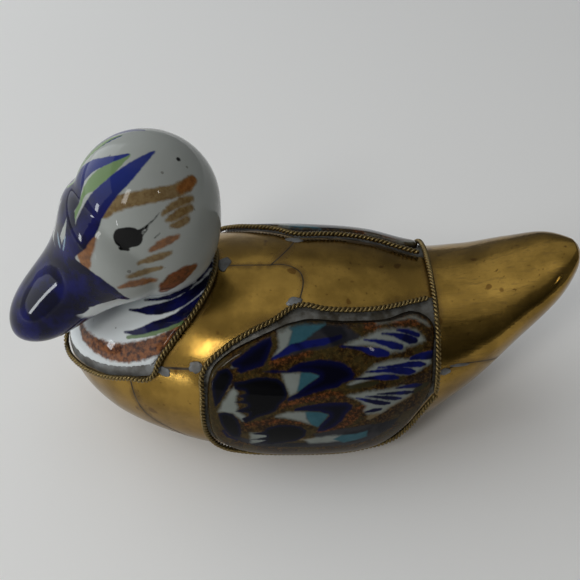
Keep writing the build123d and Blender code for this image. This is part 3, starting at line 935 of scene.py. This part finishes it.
wing_shapes = {
    "white": {
        near_view: (
            ((715, 180), (775, 90), (760, -100), (780, -170), (880, -180), (915, -90),
             (880, 40), (800, 140)),
            ((280, 290), (300, 250), (360, 228), (330, 280)),
            ((805, 352), (870, 347), (980, 340), (1010, 350), (1000, 480), (960, 560),
             (890, 585), (850, 500)),
            ((140, 750), (190, 650), (250, 560), (310, 500), (345, 560), (330, 600),
             (320, 650), (340, 700), (330, 750), (420, 800), (400, 850), (350, 820), (290, 770)),
            ((735, 805), (860, 760), (1000, 752), (1070, 765), (1065, 820), (1110, 885),
             (1000, 850), (860, 820)),
            ((470, 975), (660, 975), (680, 1060), (560, 1080), (480, 1078)),
            ((1040, 1050), (1150, 1025), (1300, 1005), (1420, 1000), (1400, 1060),
             (1250, 1075), (1100, 1085)),
        ),
        tip_view: (
            ((60, 620), (200, 560), (300, 520), (470, 445), (660, 435), (860, 448), (960, 560),
             (880, 600), (750, 640), (700, 680), (560, 700), (430, 650), (300, 620), (150, 640)),
            ((330, 890), (400, 840), (560, 790), (800, 770), (1015, 745), (1015, 800),
             (950, 860), (850, 930), (700, 950), (600, 945), (450, 960), (200, 1050),
             (120, 1090), (90, 1060), (200, 1000)),
            ((80, 1185), (300, 1140), (500, 1118), (700, 1078), (830, 1110), (820, 1150),
             (720, 1220), (560, 1305), (470, 1372), (300, 1395), (270, 1350), (300, 1300),
             (200, 1235)),
        ),
    },
    "teal": {
        near_view: (
            ((880, -180), (1000, -195), (1260, -170), (1150, -80), (1020, 20), (930, 90),
             (870, 60), (915, -90)),
            ((1000, 342), (1100, 342), (1200, 372), (1190, 392), (1080, 468), (1000, 530),
             (960, 550), (985, 440)),
            ((1050, 752), (1200, 755), (1298, 782), (1240, 850), (1180, 915), (1110, 885),
             (1060, 820)),
            ((1340, 1040), (1420, 1000), (1568, 985), (1700, 950), (1690, 1010), (1568, 1050),
             (1450, 1075)),
        ),
    },
    "grey": {
        tip_view: (
            ((380, 285), (560, 232), (800, 200), (985, 180), (1000, 290), (800, 312),
             (600, 302), (450, 312)),
        ),
    },
    "navy": {
        near_view: (
            ((262, 240), (330, 200), (420, 130), (520, 50), (600, -20), (690, -30), (700, 60),
             (660, 180), (610, 270), (560, 290), (500, 310), (430, 330), (380, 355),
             (330, 330), (345, 300), (290, 290)),
            ((610, 332), (720, 318), (860, 325), (900, 290), (1000, 240), (1150, 212),
             (1300, 212), (1430, 238), (1520, 288), (1562, 360), (1530, 420), (1450, 455),
             (1380, 500), (1250, 525), (1130, 560), (1000, 605), (870, 645), (855, 620),
             (960, 560), (1060, 480), (1195, 390), (1200, 372), (1100, 342), (980, 337),
             (870, 347), (700, 347)),
            ((940, 722), (1060, 690), (1200, 668), (1350, 655), (1480, 655), (1545, 688),
             (1530, 725), (1480, 770), (1430, 850), (1350, 912), (1250, 955), (1170, 965),
             (1200, 900), (1300, 800), (1295, 780), (1200, 752), (1060, 742), (930, 745)),
        ),
    },
    "slate": {
        near_view: (
            ((700, 195), (780, 100), (800, 20), (830, -140), (960, -190), (1250, -200),
             (1460, -170), (1600, -60), (1640, -20), (1560, 10), (1400, 60), (1250, 90),
             (1050, 120), (880, 170)),
        ),
        foot_view: (
            ((170, 745), (230, 800), (330, 830), (470, 836), (640, 835), (800, 825),
             (900, 800), (1010, 735), (1080, 640), (1040, 690), (930, 720), (840, 752),
             (700, 790), (560, 815), (400, 815), (260, 790)),
            ((620, 770), (760, 745), (900, 722), (1010, 708), (990, 745), (900, 800),
             (780, 820), (640, 820)),
        ),
    },
    "ink": {
        near_view: (
            ((300, 440), (400, 435), (520, 398), (640, 388), (760, 408), (830, 465),
             (862, 560), (845, 625), (780, 680), (740, 745), (640, 785), (560, 805),
             (480, 845), (425, 870), (385, 825), (455, 795), (460, 770), (315, 750),
             (450, 690), (440, 672), (305, 655), (400, 632), (400, 610), (320, 590),
             (430, 560), (420, 535), (310, 520)),
            ((135, 775), (200, 757), (290, 778), (340, 830), (370, 900), (382, 980),
             (350, 1025), (280, 1005), (220, 960), (170, 885)),
            ((640, 925), (760, 890), (900, 888), (1000, 908), (1062, 950), (1045, 1010),
             (950, 1058), (800, 1080), (690, 1092), (600, 1085), (480, 1095), (600, 1062),
             (640, 1050), (470, 1045), (640, 1015), (640, 1000), (475, 985), (620, 960)),
        ),
        foot_view: (
            ((108, 470), (140, 455), (190, 440), (215, 480), (205, 520), (180, 560),
             (150, 610), (125, 640), (112, 560)),
        ),
    },
}

wing_strokes = {
    "rust": {
        near_view: (
            ((700, 250, 25), (800, 215, 25), (950, 170, 28), (1100, 130, 24)),
            ((800, 690, 25), (950, 650, 30), (1100, 620, 30), (1300, 570, 35), (1420, 560, 20)),
            ((430, 890, 20), (600, 870, 25), (760, 850, 25), (1000, 870, 18)),
            ((1190, 960, 20), (1350, 930, 35), (1500, 860, 40), (1568, 800, 40)),
        ),
        tip_view: (
            ((290, 400, 30), (350, 390, 45), (420, 385, 35)),
            ((620, 365, 22), (720, 370, 36), (850, 365, 30)),
            ((60, 1440, 30), (140, 1390, 45), (250, 1320, 45), (290, 1290, 20)),
            ((0, 1200, 25), (60, 1210, 15)),
        ),
    },
    "cobalt": {
        near_view: (
            ((700, 200, 6), (800, 150, 20), (900, 90, 30), (1060, 50, 28), (1250, 20, 24),
             (1420, -30, 12)),
            ((190, 950, 10), (240, 1010, 16), (330, 1045, 10)),
        ),
        tip_view: (
            ((470, 490, 5), (600, 500, 13), (700, 530, 29), (790, 560, 38), (850, 570, 22)),
            ((640, 450, 8), (760, 470, 20), (880, 510, 18)),
            ((270, 560, 4), (400, 575, 14), (500, 595, 22), (600, 625, 32), (690, 640, 24)),
            ((0, 635, 4), (130, 645, 10), (240, 660, 17), (330, 690, 27), (430, 700, 40),
             (530, 715, 22)),
            ((790, 775, 12), (900, 745, 32), (1010, 720, 42)),
            ((430, 872, 6), (600, 860, 15), (700, 845, 22), (800, 835, 30), (900, 835, 30),
             (955, 835, 12)),
            ((290, 922, 4), (430, 910, 13), (560, 900, 22), (680, 905, 38), (780, 915, 34),
             (835, 915, 14)),
            ((120, 1002, 4), (280, 995, 12), (400, 985, 18), (500, 980, 28), (600, 980, 25),
             (650, 985, 10)),
            ((630, 1102, 6), (760, 1085, 18), (850, 1070, 25), (910, 1062, 10)),
            ((420, 1167, 5), (560, 1160, 14), (680, 1155, 22), (760, 1150, 22), (820, 1143, 9)),
            ((290, 1195, 5), (420, 1200, 14), (540, 1210, 24), (620, 1215, 24), (685, 1215, 10)),
            ((180, 1212, 4), (300, 1240, 20), (400, 1260, 28), (500, 1270, 24), (555, 1270, 10)),
            ((285, 1372, 8), (380, 1350, 25), (455, 1338, 16)),
        ),
    },
    "olive": {
        tip_view: (
            ((70, 1092, 10), (200, 1080, 24), (330, 1060, 30), (425, 1038, 12)),
        ),
        foot_view: (
            ((1120, 560, 10), (1150, 540, 14), (1185, 520, 10)),
        ),
    },
    "tan": {
        foot_view: (
            ((900, 690, 14), (960, 650, 12), (1040, 610, 10), (1100, 580, 8)),
            ((560, 800, 6), (640, 795, 10), (720, 800, 8)),
            ((150, 530, 8), (175, 545, 14), (190, 525, 10)),
        ),
    },
}


def filled(points, shapes):
    """Distance from each point to the nearest closed shape, less than zero inside one."""
    best = np.full(len(points), 99.0)
    for rows in shapes:
        rows = np.array(rows)
        within = np.zeros(len(points), bool)
        edge = np.full(len(points), 99.0)
        for first, last in zip(rows, np.roll(rows, -1, axis=0)):
            run = last - first
            share = np.clip((points - first) @ run / (run @ run + 1e-9), 0, 1)
            gap = points - first - share[:, None] * run
            edge = np.minimum(edge, np.linalg.norm(gap, axis=1))
            level = (first[1] > points[:, 1]) != (last[1] > points[:, 1])
            rise = run[1] if abs(run[1]) > 1e-9 else 1e-9
            within ^= level & (points[:, 0] < run[0] * (points[:, 1] - first[1]) / rise + first[0])
        best = np.minimum(best, np.where(within, -edge, edge))
    return best


feather = glaze_finish("wing_glaze", 0.08)
mottle = feather.reach(feather.grain(1.0, 4, 0.7, shift=0.2), 0.36, 0.56)
patch = feather.reach(feather.grain(0.16, 3, 0.6, shift=0.5), 0.42, 0.6)
ground = feather.mix(mottle, colour(74, 53, 23), colour(34, 22, 10))
ground = feather.mix(feather.sum("MULTIPLY", patch, 0.6), ground, colour(62, 54, 28))
rust_tone = feather.mix(mottle, colour(106, 60, 30), colour(48, 30, 15))
white_tone = feather.mix(feather.grain(0.2, 3, 0.5), colour(112, 117, 110), colour(134, 140, 136))
teal_tone = feather.mix(feather.grain(0.3, 3, 0.6), colour(34, 68, 78), colour(58, 98, 108))
deep = feather.reach(feather.grain(0.14, 2, 0.5, shift=0.9), 0.4, 0.6)
navy_tone = feather.mix(feather.reach(feather.layer("navy"), -2.0, -0.1), colour(7, 7, 20),
                        colour(10, 12, 46))
ink_tone = feather.mix(feather.reach(feather.layer("ink"), -1.4, 0.0), colour(8, 8, 10),
                       colour(12, 14, 34))
slate_tone = feather.mix(deep, colour(26, 26, 30), colour(44, 43, 46))
cobalt_tone = feather.mix(deep, colour(11, 13, 44), colour(19, 25, 84))
tone = painted(feather, ground, "rust", rust_tone, 0.7, 1.6, 0.9)
tone = painted(feather, tone, "tan", colour(112, 98, 72), 0.5, 1.4, 0.8)
tone = painted(feather, tone, "grey", colour(112, 114, 106), 0.5, 0.8, 0.9)
tone = painted(feather, tone, "slate", slate_tone, 0.5, 0.8)
tone = painted(feather, tone, "white", white_tone, 0.75, 1.2, 0.95)
tone = painted(feather, tone, "teal", teal_tone, 0.45, 0.6)
tone = painted(feather, tone, "navy", navy_tone, 0.35, 0.7)
tone = painted(feather, tone, "ink", ink_tone, 0.3, 0.6)
tone = painted(feather, tone, "olive", colour(44, 42, 26), 0.3, 0.6, 0.9)
tone = painted(feather, tone, "cobalt", cobalt_tone, 0.28, 0.5)
# Painted shade: where the tile stands less than 1.3 mm off the skin, at its rounded rim, it is painted
# near black, darkest below 0.7 mm.
rim = feather.reach(feather.layer("rim"), 0.7, 1.3, 0.9, 0.0)
feather.set("Base Color", feather.mix(rim, tone, colour(20, 15, 10)))


def flat_on(points, way):
    """Places of a wing in the plane of the wing's own view, on one side of the duck."""
    level = points[:, 2] * cos(wing_tilt) - points[:, 1] * way * sin(wing_tilt)
    return np.stack((points[:, 0], level), axis=1)


wing_surface = surface_of("wing_tile_left")


def laid_flat(seen_by_view):
    """Rows seen in several views, laid on the left wing and moved into its own view."""
    found = []
    for view, seen_rows in seen_by_view.items():
        for rows in seen_rows:
            there = laid(wing_surface, view, rows)
            found.append(np.hstack((flat_on(there, -1), there[:, 3:])))
    return found


# A tile is grown from its middle by shares of its own reach, less towards its foot, to meet
# the wire round it, and is then sunk by a few hundredths of its thickness, in millimetres.
tile_growth = (0.030, 0, 0.042)
low_growth = (1, 1, 0.3)
tile_sink = 0.12
for side, way in (("left", -1), ("right", 1)):
    tile = glazed_copy("wing_tile_" + side, 0.42, 5)
    points = places(tile)
    lift = off_skin(points)[0]
    apart = points - points.mean(axis=0)
    points += apart * tile_growth * np.where(apart > 0, 1, low_growth)
    above, out = off_skin(points)
    points += (lift - tile_sink - above)[:, None] * out
    tile.vertices.foreach_set("co", (points * mm).astype(np.float32).ravel())
    flat = flat_on(points, way)
    # How far each place stands off the skin, for the painted shade at the rim.
    carry(tile, "rim", off_skin(points)[0])
    for paint, seen_by_view in wing_shapes.items():
        carry(tile, paint, filled(flat, laid_flat(seen_by_view)))
    for paint, seen_by_view in wing_strokes.items():
        carry(tile, paint, brushed(flat, laid_flat(seen_by_view)) - wing_spread)
    new_piece("painted_wing_" + side, tile, feather.material, "glaze", "wing_tile_" + side)
